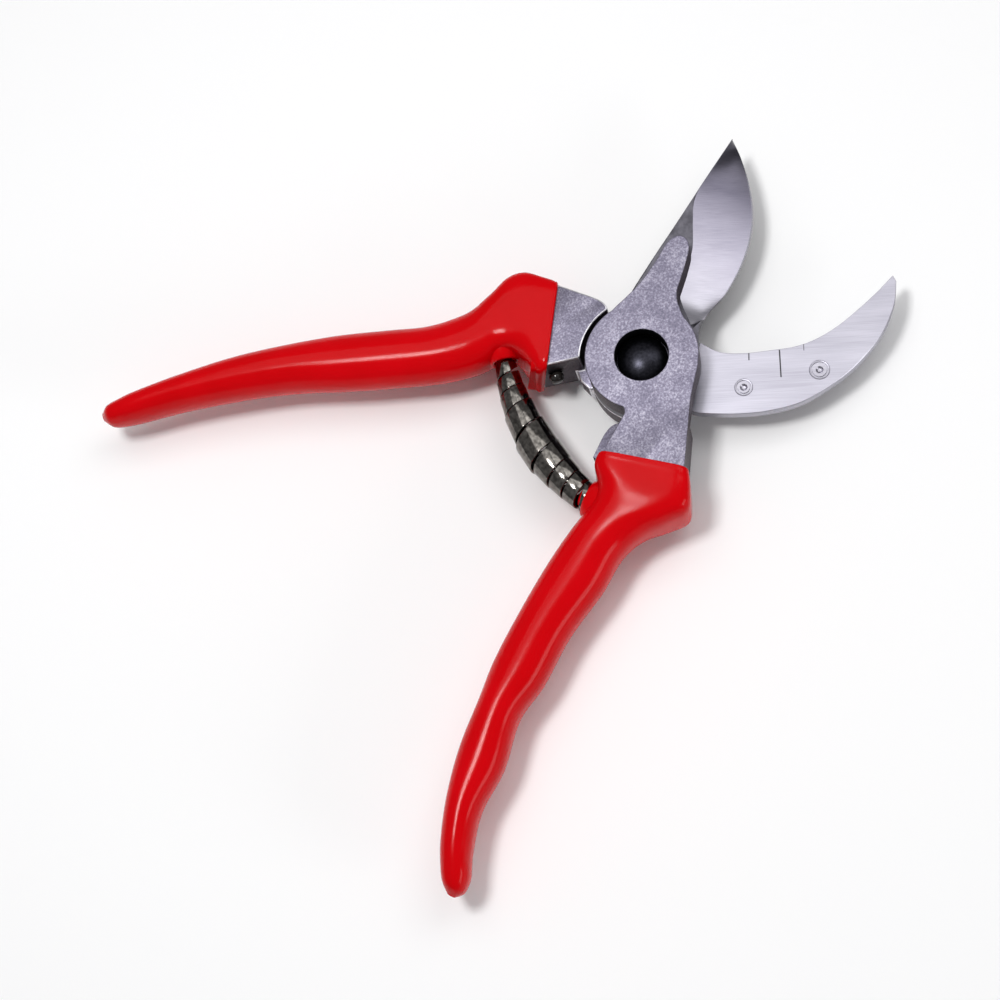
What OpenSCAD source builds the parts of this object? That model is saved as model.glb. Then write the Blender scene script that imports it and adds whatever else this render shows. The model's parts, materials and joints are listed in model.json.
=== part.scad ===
// Bypass pruning shears with aluminium handles, in millimetres.
// The origin lies on the pivot axis, in the outer face of the pivot nut. +Z is the bolt head's side,
// +X points along the closed jaws and +Y is the blade's side. Each half is drawn in the closed
// position, from the shear plane up and down, and is then turned open by half the opening.

/* [Overall] */
// Angle between the halves at rest, counted from closed
open_angle = 52; // [46:1:54]
// Pivot axis to the tip of the cutting blade
blade_reach = 68.5; // [56:0.5:84]
// Pivot axis to the tip of the counter-blade hook
hook_reach = 69.5; // [57:0.5:85]
// Pivot axis to the end of the blade-side handle
blade_handle_reach = 146; // [120:1:178]
// Pivot axis to the end of the hook-side handle
hook_handle_reach = 148.5; // [122:1:180]

/* [Pivot] */
// Radius of the round pivot disc on each half
disc_r = 15; // [13.5:0.1:15.8]
// Radius of the pivot bolt's shank
bolt_r = 4; // [3.2:0.1:4.8]
// Radius of the pivot bolt's domed head
head_r = 6.7; // [5.6:0.1:8.1]
// Height of the head's rim, under its dome
head_h = 2.0; // [1.6:0.1:2.4]
// Rise of the head's dome
dome_h = 2.4; // [1:0.1:2.8]
// Radius of the threaded end of the bolt
thread_r = 3; // [2.4:0.1:3.1]
// Tip radius of the toothed nut
nut_r = 8.6; // [7.6:0.1:9.2]
// Teeth around the nut
nut_teeth = 24; // [16:2:30]
// Width across the flats of the nut's hexagon
nut_flats = 13; // [10.8:0.1:13.6]

/* [Thicknesses] */
// Cutting blade
blade_t = 3.2; // [2.6:0.1:3.9]
// Counter-blade plate
hook_t = 3; // [2.5:0.1:3.6]
// Blade-side pivot disc, above the blade
blade_disc_t = 7.5; // [6.3:0.1:9]
// Hook-side pivot plate, with the seat of the counter-blade in it
hook_disc_t = 6.8; // [5.7:0.1:8.2]
// Thumb catch plate
catch_t = 2.2; // [1.8:0.1:2.6]
// Plastic coat on the handles, at its mouth
coat_t = 1.2; // [1:0.1:1.45]

/* [Fastenings] */
// Radius of the first counter-blade rivet
rivet_a_r = 2.3; // [1.9:0.1:2.8]
// Radius of the second counter-blade rivet
rivet_b_r = 2.6; // [2.1:0.1:3.1]
// Radius of the pin that keys the blade to its handle
dowel_r = 1.5; // [1.2:0.1:1.8]
// Radius of the thumb catch's rivet
catch_pin_r = 2.2; // [1.8:0.1:2.6]
// Radius of the screw that holds the locking segment
screw_r = 1.5; // [1.2:0.1:1.8]
// Radius of the rubber bumper
bumper_r = 2; // [1.7:0.1:2.4]

/* [Spring] */
// Turns of the volute spring
spring_turns = 8; // [6:1:10]
// Outer radius at the hook-side handle
spring_hook_r = 2.9; // [2.5:0.1:3.4]
// Outer radius where its two cones meet
spring_mid_r = 5.6; // [4.7:0.1:6.7]
// Outer radius at the blade-side handle
spring_blade_r = 4; // [3.4:0.1:4.8]
// Width of the spring's strip at its two ends
strip_w = 2.2; // [1.8:0.1:2.5]
// Thickness of the spring's strip
strip_t = 0.7; // [0.6:0.1:0.8]

/* [Hidden] */
$fn = 72;

// Clearances
blade_gap = 0.06;      // between the blade and the counter-blade
turn_gap = 0.05;       // around a shank that turns in its bore
seat_gap = 0.02;       // around a pin that is pressed home
tooth_gap = 0.15;      // between the nut's teeth and the segment's
disc_gap = 1.5;        // between a pivot disc and the neck that passes around it

// Heights above (+) and below (-) the shear plane
nut_flange_t = 2.4;
nut_hex_t = 2.8;
segment_t = 2.2;
shear_z = hook_disc_t + nut_flange_t + nut_hex_t;   // shear plane above the nut's outer face
blade_top = blade_gap + blade_t;
disc_top = blade_top + blade_disc_t;
hook_neck_top = disc_top - 1.5;
hook_neck_low = -hook_disc_t - 0.5;
blade_neck_low = -hook_disc_t + 0.8;
boss_h = 1.5;                                       // boss under the thumb catch
washer_t = 0.3;
catch_top = hook_neck_low - boss_h - washer_t;
catch_low = catch_top - catch_t;
pin_end = hook_neck_top - 4;                        // blind end of the catch's pin in the neck
recess_r = head_r + 0.45;                           // counterbore over the bolt's head
head_low = disc_top - head_h - dome_h - 1.1;
flat_half = bolt_r - 0.8;                           // half the bolt's width over its two flats
neck_r = disc_r + disc_gap;

// Places, in the closed frame of a half
rivet_a_at = [24.3, -11.2];
rivet_b_at = [44.6, -11];
dowel_at = [-recess_r - dowel_r - 1.6, 0];
catch_at = [-16.7, 14.7];
lug_at = [-23.3, -7];
lug_r = 2;
bumper_x = -23.6;
bumper_z = 1.6;
stop_y = 0.6;                                       // edge of the shoulder that the bumper meets
stop_gap = 0.25;                                    // left between them when the shears are closed
stop_low = -0.6;
stop_top = 4;
segment_dir = 60;
segment_screw_d = 11.9;
blade_seat_at = [-38.9, -2.1];                      // centre of the spring's last turn
hook_seat_at = [-36.4, 8.8];

// Handles. The coat starts at mouth and its sections are drawn at these distances from the pivot.
// Beyond the fore part, they stretch with the handle. Each row is a section of the coated handle:
// distance, inner edge, outer edge, bottom, top, squareness, thickness of the coat
fore = 46;
blade_grip_rows = [
    [26.9, -1.8, -25.4, blade_neck_low - coat_t, disc_top + coat_t, 9, coat_t],
    [30, -2, -27.8, blade_neck_low - coat_t, disc_top + coat_t * 0.9, 7, coat_t * 1.1],
    [34, -4.6, -29.4, -6.8, 10.6, 4.4, 2],
    [38, -5.7, -26, -6.7, 10, 3.4, 2.6],
    [43, -4.7, -21.2, -6.6, 9.6, 3, 2.8],
    [50, -3.2, -18.6, -6.5, 9.5, 2.7, 2.8],
    [60, -1.9, -18.1, -6.4, 9.4, 2.6, 2.8],
    [74, -1.2, -15.9, -6.3, 9.3, 2.6, 2.8],
    [88, -1.2, -15.7, -6.2, 9.2, 2.6, 2.8],
    [99, -2.4, -14.2, -6.1, 9.1, 2.6, 2.6],
    [112, -3.7, -16.6, -5.8, 8.8, 2.6, 2.6],
    [124, -6.5, -16.5, -5.4, 8.4, 2.5, 2.5],
    [134, -10.1, -19.2, -5, 8, 2.4, 2.3],
    [140, -13.1, -21.8, -4.3, 7.3, 2.3, 2],
    [144, -15.8, -22.1, -3, 6, 2.2, 0],
    [146, -18.2, -20.6, 0, 3, 2, 0]];
hook_grip_rows = [
    [23.4, 2.4, 26.8, hook_neck_low - coat_t, hook_neck_top + coat_t, 9, coat_t],
    [26, 2.8, 29.4, hook_neck_low - coat_t, hook_neck_top + coat_t * 0.9, 7.5, coat_t * 1.1],
    [29.5, 8.2, 32.4, -7.9, 9.9, 5, 1.7],
    [33, 11.4, 32.1, -7.2, 9.6, 4.2, 2.2],
    [37, 11.8, 29, -6.9, 9.4, 3.3, 2.6],
    [41, 9.8, 26.6, -6.7, 9.4, 3, 2.8],
    [46, 8.6, 25.1, -6.5, 9.4, 2.7, 2.8],
    [55, 8.6, 24.4, -6.4, 9.4, 2.6, 2.8],
    [66, 10, 25.9, -6.3, 9.3, 2.6, 2.8],
    [80, 12.2, 27.7, -6.2, 9.2, 2.6, 2.8],
    [95, 15.1, 28.4, -6.1, 9.1, 2.6, 2.8],
    [110, 16.6, 28.3, -5.8, 8.8, 2.6, 2.6],
    [126, 17.2, 26.7, -5.4, 8.4, 2.5, 2.5],
    [138, 16.8, 24.9, -5, 8, 2.4, 2.3],
    [143, 16.8, 23.8, -4.3, 7.3, 2.3, 2],
    [146.5, 17.2, 22.9, -3, 6, 2.2, 0],
    [148.5, 18.9, 21.7, 0, 3, 2, 0]];

// The coats' mouths lean: how much nearer to the pivot the outer edge and the top stand than the middle
blade_mouth_lean = [2.8, 1.2];
hook_mouth_lean = [3.7, 1.7];
lean_length = 16;                                   // behind the mouth, where the lean dies out

// Smooth curves --------------------------------------------------------------------------------

// Point of a curve between p1 and p2, led by their neighbours
function between(p0, p1, p2, p3, t) = 0.5 * (2 * p1 + (p2 - p0) * t
    + (2 * p0 - 5 * p1 + 4 * p2 - p3) * t * t + (3 * p1 - p0 - 3 * p2 + p3) * t * t * t);
// Curve through the points, with n steps to each stretch
function smooth(pts, n) = [for (i = [0 : len(pts) - 2], k = [0 : n - 1])
    between(pts[max(i - 1, 0)], pts[i], pts[i + 1], pts[min(i + 2, len(pts) - 1)], k / n),
    pts[len(pts) - 1]];
function reversed(pts) = [for (i = [len(pts) - 1 : -1 : 0]) pts[i]];
// Points with their length from the pivot stretched from the drawn reach to the wanted one
function stretched(pts, drawn, wanted) = [for (p = pts) [p[0] * wanted / drawn, p[1]]];
function turned(p, a) = [p[0] * cos(a) - p[1] * sin(a), p[0] * sin(a) + p[1] * cos(a)];

// Handles: a coat around a tang of rectangular section -------------------------------------------

sides = 16;
function signed_power(v, e) = sign(v) * pow(abs(v), e);
// Distance of a section from the pivot
function handle_x(d, drawn, wanted) =
    d <= fore ? -d : -(fore + (d - fore) * (wanted - fore) / (drawn - fore));
// Sections of a handle, with one more between each two rows, and their lean
function handle_sections(rows, lean, wanted) = [for (r = smooth(rows, 2))
    let (fade = max(0, 1 - (r[0] - rows[0][0]) / lean_length))
    concat([handle_x(r[0], rows[len(rows) - 1][0], wanted)], [for (i = [1 : 6]) r[i]], lean * fade)];
function has_tang(s) = s[6] > 1;
// Point of a leaning section
function leaned(s, y, z) = [s[0] + s[7] * (2 * y - s[1] - s[2]) / (s[2] - s[1])
    + s[8] * (2 * z - s[3] - s[4]) / (s[4] - s[3]), y, z];
// Ring of points around a section: rounded for the outside, square for the tang and its socket
function outer_ring(s) = [for (k = [0 : sides - 1]) let (a = 360 * k / sides)
    leaned(s, (s[1] + s[2]) / 2 + abs(s[2] - s[1]) / 2 * signed_power(cos(a), 2 / s[5]),
    (s[3] + s[4]) / 2 + (s[4] - s[3]) / 2 * signed_power(sin(a), 2 / s[5]))];
function socket_ring(s) = [for (k = [0 : sides - 1])
    let (a = 360 * k / sides, m = max(abs(cos(a)), abs(sin(a))))
    leaned(s, (s[1] + s[2]) / 2 + (abs(s[2] - s[1]) / 2 - s[6]) * cos(a) / m,
    (s[3] + s[4]) / 2 + ((s[4] - s[3]) / 2 - s[6]) * sin(a) / m)];
// Faces between rings i and i + 1 of a tube, both ways round
function tube_faces(first, rings, inward) = [for (i = [0 : rings - 2], k = [0 : sides - 1], h = [0, 1])
    let (a = first + i * sides + k, b = first + i * sides + (k + 1) % sides,
        t = h == 0 ? [a, b, b + sides] : [a, b + sides, a + sides])
    inward ? [t[2], t[1], t[0]] : t];

// Faces from the ring that starts at first to the point at its middle
function fan(first, middle, inward) = [for (k = [0 : sides - 1])
    let (a = first + k, b = first + (k + 1) % sides) inward ? [b, a, middle] : [a, b, middle]];

module coat(rows, lean, wanted) {
    sections = handle_sections(rows, lean, wanted);
    inside = [for (s = sections) if (has_tang(s)) s];
    n = len(sections);
    m = len(inside);
    socket = n * sides;
    outer = [for (s = sections) each outer_ring(s)];
    inner = [for (s = inside) each socket_ring(s)];
    mouth = [for (k = [0 : sides - 1], h = [0, 1]) let (q = (k + 1) % sides)
        h == 0 ? [k, socket + k, socket + q] : [k, socket + q, q]];
    middles = [for (s = [sections[n - 1], inside[m - 1]]) [s[0], (s[1] + s[2]) / 2, (s[3] + s[4]) / 2]];
    end_cap = fan((n - 1) * sides, socket + m * sides, false);
    socket_cap = fan(socket + (m - 1) * sides, socket + m * sides + 1, true);
    polyhedron(concat(outer, inner, middles), concat(tube_faces(0, n, false),
        tube_faces(socket, m, true), mouth, end_cap, socket_cap));
}

// Tang that fills the coat's socket, with a narrower nose that runs on into the neck
module tang(rows, lean, wanted) {
    filled = [for (s = handle_sections(rows, lean, wanted)) if (has_tang(s)) s];
    first = filled[0];
    nose = [first[0] + 1, first[1], first[2], first[3], first[4], first[5], first[6] + 0.6, first[7], first[8]];
    inside = concat([nose], filled);
    m = len(inside);
    middles = [for (s = [inside[0], inside[m - 1]]) [s[0], (s[1] + s[2]) / 2, (s[3] + s[4]) / 2]];
    polyhedron(concat([for (s = inside) each socket_ring(s)], middles),
        concat(tube_faces(0, m, false), fan(0, m * sides, true), fan((m - 1) * sides, m * sides + 1, false)));
}

// What lies on the pivot's side of the coat's mouth
module before_mouth(rows, lean) {
    s = rows[0];
    slope = [1, -2 * lean[0] / (s[2] - s[1]), -2 * lean[1] / (s[4] - s[3])];
    n = slope / norm(slope);
    intersection() {
        children();
        translate([-s[0], (s[1] + s[2]) / 2, (s[3] + s[4]) / 2])
            rotate([0, -asin(n[2]), atan2(n[1], n[0])]) translate([0, -60, -60]) cube([80, 120, 120]);
    }
}

// Stud on the coat that the last turn of the spring is pushed over
module spring_stud(at, r, depth) {
    translate([at[0], at[1], spring_z]) rotate([90, 0, 0]) cylinder(h = depth, r = r);
}
spring_z = 1.5;

// Slab with the given outline between two heights
module slab(low, high) {
    translate([0, 0, low]) linear_extrude(high - low) children();
}

// Each half, turned open about the pivot
module blade_side() {
    translate([0, 0, shear_z]) rotate(open_angle / 2) children();
}
module hook_side() {
    translate([0, 0, shear_z]) rotate(-open_angle / 2) children();
}

// Blade half ------------------------------------------------------------------------------------

finger_outline = [[0, 13], [7, 12.9], [12.7, 11.1], [18, 9.5], [25, 8.5], [31, 8.2], [34, 6.5],
    [34.3, 4.2], [32.4, 2.2], [28, 1], [23.5, 0.2], [19.5, -0.6], [16.5, -2.6], [12.7, -7.1],
    [9.4, -11.3], [0, -13]];
blade_neck_in = blade_grip_rows[0][1] - coat_t;
blade_neck_out = blade_grip_rows[0][2] + coat_t;

module blade_handle() color([0.62, 0.60, 0.64]) blade_side() difference() {
    union() {
        slab(blade_top, disc_top) circle(disc_r);
        slab(blade_top, disc_top) polygon(smooth(finger_outline, 6));
        before_mouth(blade_grip_rows, blade_mouth_lean) slab(blade_top, disc_top) blade_neck_outline();
        before_mouth(blade_grip_rows, blade_mouth_lean) {
            slab(blade_neck_low, disc_top) difference() {
                blade_neck_outline();
                circle(neck_r);
                translate([-10.5, -40]) square([40, 40]);
            }
            slab(stop_low, stop_top) difference() {
                polygon(concat(smooth([[-29, stop_y - 0.2], [-23.4, stop_y], [-21, stop_y - 0.2],
                    [-19, stop_y - 0.8], [-17.4, stop_y - 2.2]], 5), [[-17, -8], [-29, -8]]));
                circle(neck_r);
            }
        }
        tang(blade_grip_rows, blade_mouth_lean, blade_handle_reach);
        translate([lug_at[0], lug_at[1], catch_low]) cylinder(h = blade_neck_low - catch_low + 1, r = lug_r);
    }
    translate([0, 0, blade_top - 1]) cylinder(h = blade_disc_t + 2, r = bolt_r + turn_gap);
    translate([0, 0, head_low - 0.1]) cylinder(h = disc_top, r = recess_r);
    translate([dowel_at[0], dowel_at[1], blade_top - 1])
        cylinder(h = 5 + seat_gap, r = dowel_r + seat_gap);
}

// Neck from the pivot disc to the coat's mouth, with a rounded notch where it leaves the disc
module blade_neck_outline() {
    polygon(concat([[-32, blade_neck_out]], smooth([[-23.5, blade_neck_out], [-16.1, -21.1], [-9.8, -18.6],
        [-3.7, -16.6], [3.6, -14.7], [8, -12.6]], 4), [[0, -6], [-12, -1]],
        smooth([[-14.8, -2.2], [-15.7, -3], [-17, -3.3], [-22, blade_neck_in - 0.1],
        [-25.7, blade_neck_in]], 4), [[-32, blade_neck_in]]));
}

module blade_handle_grip() color([0.72, 0.09, 0.07]) blade_side() {
    coat(blade_grip_rows, blade_mouth_lean, blade_handle_reach);
    spring_stud([blade_seat_at[0], blade_seat_at[1] + strip_w / 2], spring_blade_r - strip_t - 0.5, 5);
}

// Spine, bevel line and cutting edge of the blade, from the root to the tip
spine_line = [[4, 12], [14, 12.6], [27, 11.7], [40, 10.4], [52, 9.3], [61, 8.4], [66.5, 7.8], [68.3, 7.6]];
bevel_line = [[4, -9], [14, -7], [22, 0.4], [34, 2.8], [44, 6.4], [53, 8.7], [60, 8.3], [68, 7.5]];
edge_line = [[4, -13.5], [17, -8.2], [28, -10.2], [40, -10.2], [51, -6.9], [60, -1], [66, 4.6], [68.5, 7.4]];

module cutting_blade() color([0.55, 0.55, 0.57]) blade_side() difference() {
    union() {
        slab(blade_gap, blade_top) circle(disc_r - 0.1);
        ground_blade();
    }
    translate([0, 0, -1]) cylinder(h = blade_t + 3, r = bolt_r + turn_gap);
    translate([dowel_at[0], dowel_at[1], -1]) cylinder(h = blade_t + 3, r = dowel_r + seat_gap);
}

// Body of the blade: sections of spine, bevel line and edge, joined from root to tip
module ground_blade() {
    spine = smooth(stretched(spine_line, 68.5, blade_reach), 2);
    bevel = smooth(stretched(bevel_line, 68.5, blade_reach), 2);
    edge = smooth(stretched(edge_line, 68.5, blade_reach), 2);
    n = len(spine);
    edge_t = 0.3;
    rings = [for (i = [0 : n - 1]) each [
        [spine[i][0], spine[i][1], blade_gap],
        [spine[i][0], spine[i][1], blade_top - (i == n - 1 ? blade_t - 0.6 : 0)],
        [bevel[i][0], bevel[i][1], blade_top - (i == n - 1 ? blade_t - 0.5 : 0)],
        [edge[i][0], edge[i][1], blade_gap + edge_t],
        [edge[i][0], edge[i][1], blade_gap]]];
    walls = [for (i = [0 : n - 2], k = [0 : 4], h = [0, 1])
        let (a = 5 * i + k, b = 5 * i + (k + 1) % 5)
        h == 0 ? [b + 5, b, a] : [a + 5, b + 5, a]];
    caps = [[for (k = [0 : 4]) k], [for (k = [4 : -1 : 0]) 5 * (n - 1) + k]];
    polyhedron(rings, concat(walls, caps));
}

module blade_dowel() color("silver") blade_side()
    translate([dowel_at[0], dowel_at[1], blade_gap + 0.2])
        cylinder(h = blade_top + 4 - blade_gap - 0.2, r = dowel_r);

// Hook half -------------------------------------------------------------------------------------

hook_inner = [[15.5, 4], [20.2, 0], [26.3, -1.8], [33, -2.6], [40, -3.1], [46, -2.2], [52, 0],
    [58, 3.2], [64, 6.9], [69, 10.5]];
hook_outer = [[69.5, 8.6], [67.4, 2.2], [62.2, -5.3], [54, -12], [46.8, -15.7], [38, -18.7],
    [29, -19.1], [20.8, -18], [12.6, -15.9], [9.6, -14.7]];
hook_inner_line = smooth(stretched(hook_inner, 69.5, hook_reach), 6);
hook_outer_line = smooth(stretched(hook_outer, 69.5, hook_reach), 6);
hook_neck_in = hook_grip_rows[0][1] + coat_t;
hook_neck_out = hook_grip_rows[0][2] - coat_t;
boss_r = 10;                                   // boss around the bolt, inside the counter-blade

module hook_neck_outline() {
    polygon(concat([[-32, hook_neck_in], [-12, hook_neck_in], [-6, 8]],
        smooth([[-6.3, 15], [-6.6, 16.7], [-7.9, 18.4], [-10, 20]], 4), [[-17.5, 25]],
        [[-19.6, hook_neck_out], [-32, hook_neck_out]]));
}

module hook_handle() color([0.60, 0.58, 0.62]) hook_side() difference() {
    union() {
        slab(-hook_disc_t, 0) circle(disc_r);
        before_mouth(hook_grip_rows, hook_mouth_lean) {
            slab(hook_neck_low, hook_neck_top) difference() {
                hook_neck_outline();
                circle(neck_r);
            }
            slab(-hook_disc_t, 0) hook_neck_outline();
        }
        slab(-hook_disc_t, 0) polygon([[-18, hook_neck_in], [-17.5, 0.6], [-15.6, -2.4], [-10, -2.4],
            [-10, hook_neck_in]]);
        slab(-hook_disc_t, -hook_t) polygon([[0, -13.4], [12, -13], [24, -16], [36, -15.8], [48, -12],
            [52, -8.5], [50, -5.5], [44, -5.6], [30, -4.8], [20, -3], [13, 4], [0, 5]]);
        tang(hook_grip_rows, hook_mouth_lean, hook_handle_reach);
        translate([catch_at[0], catch_at[1], hook_neck_low - boss_h])
            cylinder(h = boss_h + 1, r = catch_pin_r + 2.8);
    }
    slab(-hook_t - seat_gap, 3) difference() {
        polygon(concat(hook_inner_line, hook_outer_line));
        circle(boss_r);
    }
    key_hole(turn_gap);
    place(catch_at) translate([0, 0, catch_low - 1])
        cylinder(h = pin_end - catch_low + 1 + seat_gap, r = catch_pin_r + seat_gap);
    place(rivet_a_at) cylinder(h = 60, r = rivet_a_r + seat_gap, center = true);
    place(rivet_b_at) cylinder(h = 60, r = rivet_b_r + seat_gap, center = true);
    segment_place() translate([0, 0, -hook_disc_t - 1]) cylinder(h = 5, r = screw_r + seat_gap);
    bumper_place() cylinder(h = 5.1, r = bumper_r * 0.6 + seat_gap);
}

// Hole with two flats that holds the bolt from turning
module key_hole(gap) {
    intersection() {
        cylinder(h = 40, r = bolt_r + gap, center = true);
        cube([3 * bolt_r, 2 * (flat_half + gap), 42], center = true);
    }
}

module place(at) {
    translate([at[0], at[1], 0]) children();
}

module hook_handle_grip() color([0.72, 0.09, 0.07]) hook_side() {
    coat(hook_grip_rows, hook_mouth_lean, hook_handle_reach);
    spring_stud([hook_seat_at[0], hook_seat_at[1] - strip_w / 2 + 5], spring_hook_r - strip_t - 0.4, 5);
}

module counter_blade() color([0.66, 0.66, 0.68]) hook_side() difference() {
    slab(-hook_t, 0) difference() {
        polygon(concat(hook_inner_line, hook_outer_line));
        circle(boss_r + 0.1);
    }
    place(rivet_a_at) cylinder(h = 60, r = rivet_a_r + seat_gap, center = true);
    place(rivet_b_at) cylinder(h = 60, r = rivet_b_r + seat_gap, center = true);
}

module counter_blade_rivets() color([0.7, 0.7, 0.72]) hook_side() {
    rivet(rivet_a_at, rivet_a_r);
    rivet(rivet_b_at, rivet_b_r);
}

module rivet(at, r) {
    head_t = 0.8;
    translate([at[0], at[1], -hook_disc_t]) cylinder(h = hook_disc_t, r = r);
    translate([at[0], at[1], -hook_disc_t - head_t]) cylinder(h = head_t, r1 = r + 0.6, r2 = r + 1);
}

// Pivot -----------------------------------------------------------------------------------------

module pivot_bolt() color([0.13, 0.13, 0.14]) hook_side() {
    cap_r = (head_r * head_r + dome_h * dome_h) / (2 * dome_h);
    translate([0, 0, -shear_z]) cylinder(h = shear_z - hook_disc_t + 0.5, r = thread_r);
    intersection() {
        key_hole(0);
        translate([0, 0, -hook_disc_t]) cylinder(h = hook_disc_t, r = bolt_r + 1);
    }
    cylinder(h = head_low + 0.5, r = bolt_r);
    translate([0, 0, head_low]) cylinder(h = head_h, r = head_r);
    intersection() {
        translate([0, 0, head_low + head_h + dome_h - cap_r]) sphere(cap_r);
        translate([0, 0, head_low + head_h - 0.2]) cylinder(h = dome_h + 1, r = head_r);
    }
}

// Outline of a toothed wheel: four points to a tooth
function gear_outline(root, tip, share) = [for (i = [0 : nut_teeth - 1], c = [0 : 3])
    let (step = 360 / nut_teeth, r = c == 0 || c == 3 ? root : tip,
        a = i * step + step * share * [-0.36, -0.16, 0.16, 0.36][c])
    [r * cos(a), r * sin(a)]];

module pivot_nut() color([0.35, 0.35, 0.37]) hook_side() difference() {
    union() {
        slab(-hook_disc_t - nut_flange_t, -hook_disc_t) polygon(gear_outline(nut_r - 1.1, nut_r, 1));
        translate([0, 0, -shear_z]) cylinder(h = nut_hex_t + 0.5, r = nut_flats / 2 / cos(30), $fn = 6);
    }
    translate([0, 0, -shear_z - 1]) cylinder(h = 20, r = thread_r + seat_gap);
}

module segment_place() {
    rotate(segment_dir) translate([segment_screw_d, 0, 0]) children();
}

module locking_segment() color([0.45, 0.45, 0.47]) hook_side() difference() {
    slab(-hook_disc_t - segment_t, -hook_disc_t) difference() {
        intersection() {
            circle(disc_r - 0.3);
            polygon([[0, 0], 20 * [cos(segment_dir - 24), sin(segment_dir - 24)],
                20 * [cos(segment_dir + 24), sin(segment_dir + 24)]]);
        }
        polygon(gear_outline(nut_r - 1.1 + tooth_gap, nut_r + tooth_gap, 1.3));
    }
    segment_place() cylinder(h = 60, r = screw_r + seat_gap, center = true);
}

module segment_screw() color("silver") hook_side() segment_place() {
    head_t = 1.4;
    translate([0, 0, -hook_disc_t - segment_t]) cylinder(h = segment_t + 3.5, r = screw_r);
    difference() {
        translate([0, 0, -hook_disc_t - segment_t - head_t]) cylinder(h = head_t, r = 2.7);
        translate([-3, -0.4, -hook_disc_t - segment_t - head_t - 1]) cube([6, 0.8, 1.7]);
    }
}

// Bumper: a rubber button in the wall of the hook-side neck, which the blade half lands on
module bumper_place() {
    translate([bumper_x, hook_neck_in - 0.05, bumper_z]) rotate([-90, 0, 0]) children();
}

module bumper() color([0.2, 0.2, 0.21]) hook_side() bumper_place() {
    reach = hook_neck_in - stop_y - stop_gap - 0.05;
    cylinder(h = 5, r = bumper_r * 0.6);
    translate([0, 0, 1 - reach]) cylinder(h = reach - 1, r = bumper_r);
    translate([0, 0, -reach]) cylinder(h = 1, r1 = bumper_r * 0.6, r2 = bumper_r);
}

// Thumb catch: a hooked lever under the hook-side neck that holds the lug of the blade half
catch_d = norm(lug_at - catch_at);
catch_lock_dir = atan2(lug_at[1] - catch_at[1], lug_at[0] - catch_at[0]);
catch_swing = 80;
catch_slot = lug_r + 0.35;                     // from the lug's centre to the slot's walls

module thumb_catch() color([0.25, 0.25, 0.27]) hook_side()
    translate([catch_at[0], catch_at[1], 0]) rotate(catch_lock_dir - catch_swing) {
        difference() {
            slab(catch_low, catch_top) difference() {
                union() {
                    circle(catch_pin_r + 3);
                    polygon([[0, -5.1], [catch_d, -8.6], [catch_d + 5.5, -8], [catch_d + 6.3, -2],
                        [catch_d + 5.6, 2.2], [catch_d - 1, 2.2], [catch_d - 5, -1], [8, 4.2], [0, 5.1]]);
                }
                circle(catch_pin_r + turn_gap);
                slot_cut();
            }
        }
        for (i = [0 : 4]) translate([8 + 2 * i, -3.2 - i * 0.3, catch_low - 0.5])
            cube([0.9, 5, 0.6]);
    }

// Slot of the catch: a ring about the catch's own pivot, wide enough for the lug
module slot_cut() {
    intersection() {
        difference() {
            circle(catch_d + catch_slot);
            circle(catch_d - catch_slot);
        }
        polygon([[0, 0], [60, -60 * tan(5)], [60, 60 * tan(25)]]);
    }
    translate([catch_d, -1.5]) circle(catch_slot);
}

module catch_pin() color("silver") hook_side() translate([catch_at[0], catch_at[1], 0]) {
    translate([0, 0, catch_low - 0.1]) cylinder(h = pin_end - catch_low + 0.1, r = catch_pin_r);
    translate([0, 0, catch_low - 0.7]) cylinder(h = 0.65, r = catch_pin_r + 1.2);
}

module catch_washer() color("silver") hook_side() translate([catch_at[0], catch_at[1], 0])
    difference() {
        translate([0, 0, catch_top + 0.03]) cylinder(h = washer_t - 0.06, r = catch_pin_r + 2);
        cylinder(h = 60, r = catch_pin_r + seat_gap, center = true);
    }

// Volute spring ---------------------------------------------------------------------------------

spring_ends = [turned(hook_seat_at, -open_angle / 2), turned(blade_seat_at, open_angle / 2)];
spring_bow = 3.6;                              // how far the middle stands away from the pivot
spring_wide_at = 0.6;                          // where the two cones meet, from the hook side's end
spring_steps = 24;                             // sections to a turn
spring_chord = spring_ends[1] - spring_ends[0];
spring_out = [spring_chord[1], -spring_chord[0]] / norm(spring_chord);
function spring_at(t) = spring_ends[0] + spring_chord * t + spring_out * spring_bow * 4 * t * (1 - t);
function spring_dir(t) = let (v = spring_chord + spring_out * spring_bow * 4 * (1 - 2 * t)) v / norm(v);
function spring_r(t) = t < spring_wide_at
    ? spring_hook_r + (spring_mid_r - spring_hook_r) * t / spring_wide_at
    : spring_mid_r + (spring_blade_r - spring_mid_r) * (t - spring_wide_at) / (1 - spring_wide_at);
// Turn angle along the spring: the turns are close at the ends and far apart in the middle
function spring_phase(t) = 360 * spring_turns * (t + 0.35 * sin(360 * t) / (2 * PI));
// Width of the strip: most of the way to the next turn, and narrower at its two ends
function strip_width(t) = let (pitch = norm(spring_chord) / (spring_turns * (1 + 0.35 * cos(360 * t))))
    strip_w + (0.85 * pitch - strip_w) * min(1, min(t, 1 - t) / 0.06);

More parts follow.
